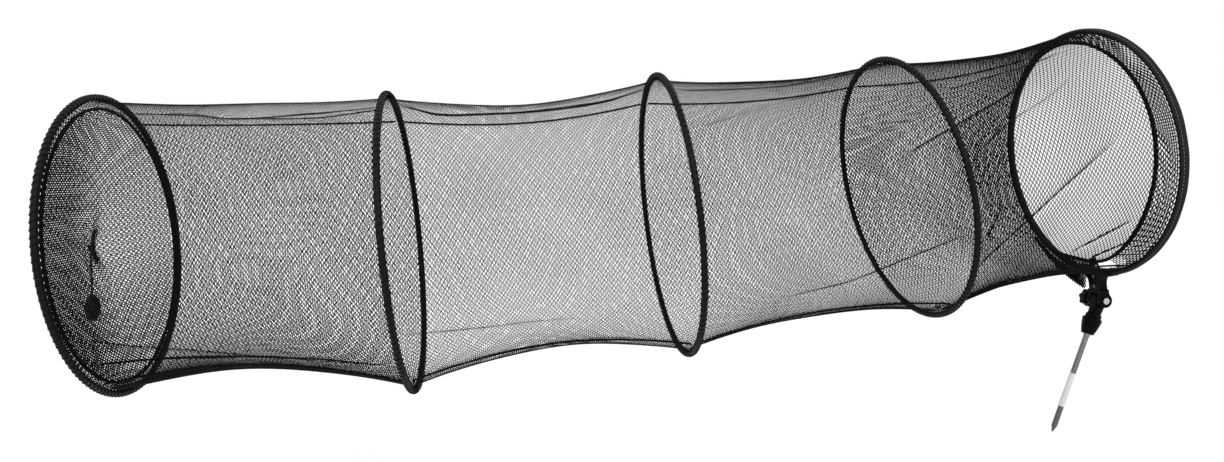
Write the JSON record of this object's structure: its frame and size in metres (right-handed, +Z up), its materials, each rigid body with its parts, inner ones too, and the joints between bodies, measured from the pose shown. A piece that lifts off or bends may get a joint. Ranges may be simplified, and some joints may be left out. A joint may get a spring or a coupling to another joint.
{
  "type": "keep net",
  "caption": "Tubular keep net: hoops in black mesh with a drawn closed end, held at its bound mouth by a tilting block on a ground spike.",
  "frame": {"origin": "the point of the ground spike", "axes": "+X along the net from its closed end to its mouth, +Z up; the spike, its arm and its hoop block lie in the plane Y = 0"},
  "size_m": [1.5502, 0.5014, 0.6574],
  "materials": {
    "net": "matt black knotless netting",
    "hoop": "black, smooth",
    "ferrule": "dull grey",
    "tape": "dark grey woven sleeve",
    "cord": "black braid",
    "plastic": "black moulding",
    "steel": "plated steel",
    "bright": "bright plated steel",
    "washer": "dark friction plate",
    "brass": "turned brass",
    "aluminium": "satin grey tube stock",
    "label": "bare white sticker",
    "toggle": "black moulding"
  },
  "bodies": {
    "spike": {"spike_rod": "aluminium", "spike_label": "label", "spike_collar": "bright", "spike_head": "plastic", "head_insert": "brass"},
    "arm": {"tilt_arm": "plastic", "arm_stud": "steel"},
    "head": {"hoop_block": "plastic", "block_cover": "plastic", "upper_screw": "steel", "lower_screw": "steel", "friction_disc_near": "washer", "friction_disc_far": "washer", "tilt_bolt": "bright", "knob_washer": "washer", "mouth_hoop": "hoop", "mouth_tape": "tape", "mouth_hem": "net", "mouth_cord": "cord", "net_section_1": "net", "low_seam_1": "cord", "high_seam_1": "cord"},
    "knob": {"clamp_knob": "plastic", "knob_insert": "brass"},
    "hoop_2": {"hoop_2": "hoop", "ferrule_2": "ferrule", "net_section_2": "net", "low_seam_2": "cord", "high_seam_2": "cord"},
    "hoop_3": {"hoop_3": "hoop", "ferrule_3": "ferrule", "net_section_3": "net", "low_seam_3": "cord", "high_seam_3": "cord"},
    "hoop_4": {"hoop_4": "hoop", "ferrule_4": "ferrule", "net_section_4": "net", "low_seam_4": "cord", "high_seam_4": "cord"},
    "closed_end": {"end_hoop": "hoop", "end_ferrule": "ferrule", "end_cord": "cord", "end_hem": "net", "end_panel": "net", "end_knot": "cord"},
    "toggle": {"toggle": "toggle", "toggle_cord": "cord"}
  },
  "joints": [
    {"name": "adapter_turn", "type": "hinge", "parent": "spike", "child": "arm", "pos_m": [0.06362, 0, 0.19014], "axis": [0.3173, 0, 0.9483], "range_deg": [-180, 180]},
    {"name": "tilt", "type": "hinge", "parent": "arm", "child": "head", "pos_m": [0.07361, 0, 0.22001], "axis": [0, 1, 0], "range_deg": [-55, 135]},
    {"name": "knob_turn", "type": "hinge", "parent": "head", "child": "knob", "pos_m": [0.07361, 0.015, 0.22001], "axis": [0, 1, 0], "range_deg": [0, 540]},
    {"name": "fold_1", "type": "slide", "parent": "head", "child": "hoop_2", "axis": [0.9777, 0.1275, 0.1668], "range_m": [0, 0.2882], "deforming": ["net_section_1", "low_seam_1", "high_seam_1"]},
    {"name": "fold_2", "type": "slide", "parent": "hoop_2", "child": "hoop_3", "axis": [0.9896, 0.095, 0.108], "range_m": [0, 0.3101], "deforming": ["net_section_2", "low_seam_2", "high_seam_2"]},
    {"name": "fold_3", "type": "slide", "parent": "hoop_3", "child": "hoop_4", "axis": [0.9934, 0.0602, 0.0973], "range_m": [0, 0.3087], "deforming": ["net_section_3", "low_seam_3", "high_seam_3"]},
    {"name": "fold_4", "type": "slide", "parent": "hoop_4", "child": "closed_end", "axis": [0.9903, -0.1375, 0.0212], "range_m": [0, 0.3248], "deforming": ["net_section_4", "low_seam_4", "high_seam_4"]},
    {"name": "toggle_swing", "type": "hinge", "parent": "closed_end", "child": "toggle", "pos_m": [-1.45225, -0.04884, 0.3151], "axis": [0, 1, 0], "range_deg": [-5, 110]}
  ]
}
